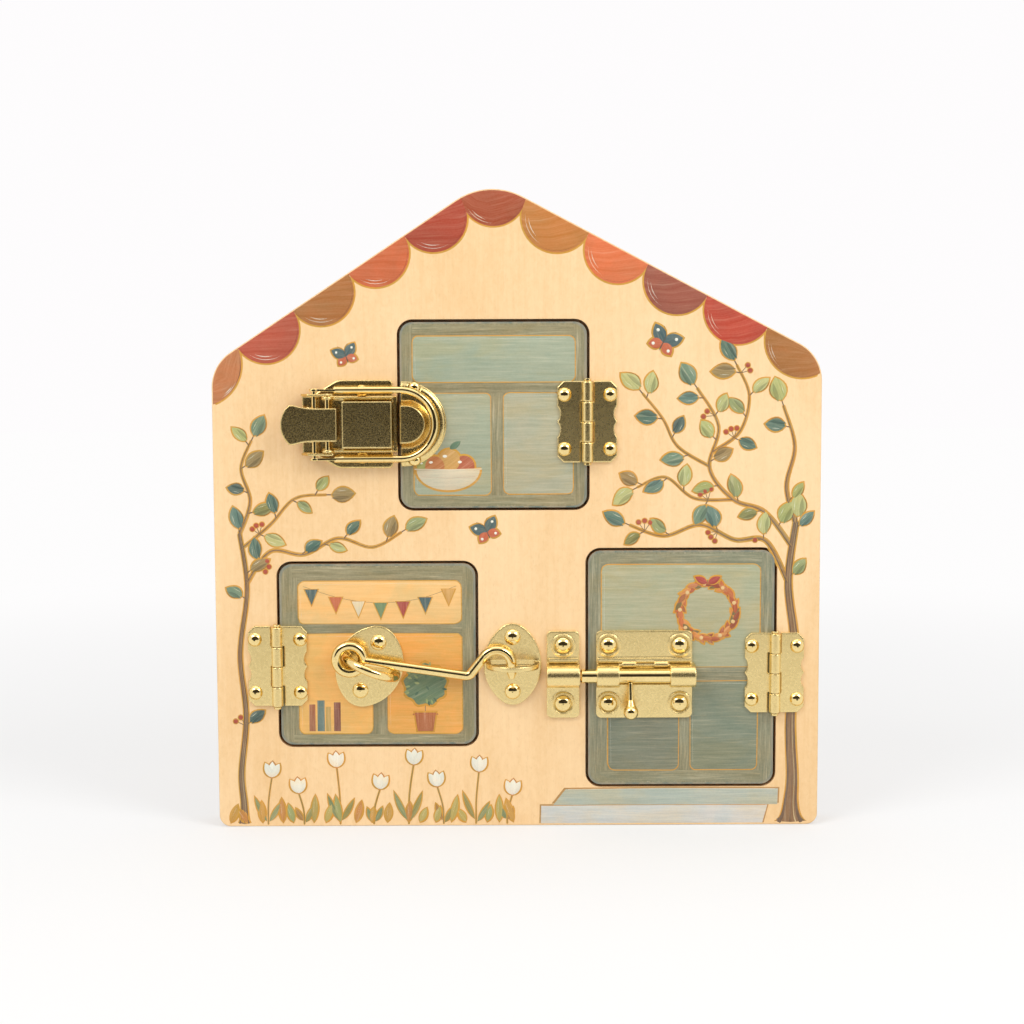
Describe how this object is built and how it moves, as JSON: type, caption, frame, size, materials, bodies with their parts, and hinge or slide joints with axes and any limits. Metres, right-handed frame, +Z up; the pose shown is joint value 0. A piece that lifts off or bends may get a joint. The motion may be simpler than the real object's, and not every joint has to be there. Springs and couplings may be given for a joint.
{
  "type": "wooden activity house with latches",
  "caption": "Free-standing house-shaped wooden board with hinged doors held by a draw latch, a cabin hook and a barrel bolt.",
  "frame": {"origin": "middle of the underside of the board", "axes": "+Z up towards the ridge, painted front towards -Y, plain back towards +Y, +X to the viewer's right when facing the front"},
  "size_m": [0.24, 0.0345, 0.2528],
  "materials": {
    "front_wood": "satin",
    "back_wood": "satin",
    "door_wood": "satin",
    "plate_brass": "polished",
    "rivet_brass": "polished",
    "wire_brass": "polished"
  },
  "bodies": {
    "board": {"front_panel": "front_wood", "back_panel": "back_wood", "top_hinge_frame_leaf": "plate_brass", "left_hinge_frame_leaf": "plate_brass", "right_hinge_frame_leaf": "plate_brass", "top_hinge_pin": "wire_brass", "left_hinge_pin": "wire_brass", "right_hinge_pin": "wire_brass", "frame_hinge_rivets": "rivet_brass", "latch_base": "plate_brass", "latch_base_rivets": "rivet_brass", "latch_pivot_pin": "wire_brass", "hook_catch": "plate_brass", "hook_catch_rivets": "rivet_brass", "bolt_keep": "plate_brass", "bolt_keep_rivets": "rivet_brass"},
    "top_door": {"top_door": "door_wood", "top_hinge_door_leaf": "plate_brass", "top_door_hinge_rivets": "rivet_brass", "latch_keeper": "plate_brass", "latch_keeper_rivets": "rivet_brass"},
    "left_door": {"left_door": "door_wood", "left_hinge_door_leaf": "plate_brass", "left_door_hinge_rivets": "rivet_brass", "hook_eye_plate": "plate_brass", "hook_eye_plate_rivets": "rivet_brass", "hook_staple": "wire_brass"},
    "right_door": {"right_door": "door_wood", "right_hinge_door_leaf": "plate_brass", "right_door_hinge_rivets": "rivet_brass", "bolt_barrel_plate": "plate_brass", "bolt_barrel_rivets": "rivet_brass"},
    "latch_lever": {"latch_lever": "plate_brass", "latch_bail_pin": "wire_brass"},
    "latch_bail": {"latch_bail": "wire_brass"},
    "cabin_hook": {"cabin_hook": "wire_brass"},
    "bolt_rod": {"bolt_rod": "wire_brass"},
    "bolt_handle": {"bolt_stem": "wire_brass", "bolt_knob": "wire_brass"}
  },
  "joints": [
    {"name": "top_door_hinge", "type": "hinge", "parent": "board", "child": "top_door", "pos_m": [0.0277, -0.01135, 0.162], "axis": [0, 0, 1], "range_deg": [0, 96]},
    {"name": "left_door_hinge", "type": "hinge", "parent": "board", "child": "left_door", "pos_m": [-0.0956, -0.01135, 0.0652], "axis": [0, 0, -1], "range_deg": [0, 110]},
    {"name": "right_door_hinge", "type": "hinge", "parent": "board", "child": "right_door", "pos_m": [0.1022, -0.01135, 0.0618], "axis": [0, 0, 1], "range_deg": [0, 160]},
    {"name": "latch_lever_pivot", "type": "hinge", "parent": "board", "child": "latch_lever", "pos_m": [-0.0741, -0.0148, 0.1614], "axis": [0, 0, 1], "range_deg": [0, 111]},
    {"name": "latch_bail_pivot", "type": "hinge", "parent": "latch_lever", "child": "latch_bail", "pos_m": [-0.0793, -0.014, 0.1614], "axis": [0, 0, -1], "range_deg": [0, 284]},
    {"name": "cabin_hook_pivot", "type": "hinge", "parent": "left_door", "child": "cabin_hook", "pos_m": [-0.0665, -0.0154, 0.0688], "axis": [0, -1, 0], "range_deg": [0, 110.5]},
    {"name": "bolt_slide", "type": "slide", "parent": "right_door", "child": "bolt_rod", "axis": [1, 0, 0], "range_m": [-0.003, 0.0134]},
    {"name": "bolt_handle_turn", "type": "hinge", "parent": "bolt_rod", "child": "bolt_handle", "pos_m": [0.0475, -0.014, 0.0614], "axis": [-1, 0, 0], "range_deg": [0, 80]}
  ],
  "couplings": [
    {"joint": "latch_lever_pivot", "follows": "top_door_hinge", "ratio": 1.15},
    {"joint": "latch_bail_pivot", "follows": "top_door_hinge", "ratio": 2.95},
    {"joint": "cabin_hook_pivot", "follows": "left_door_hinge", "ratio": 1}
  ]
}
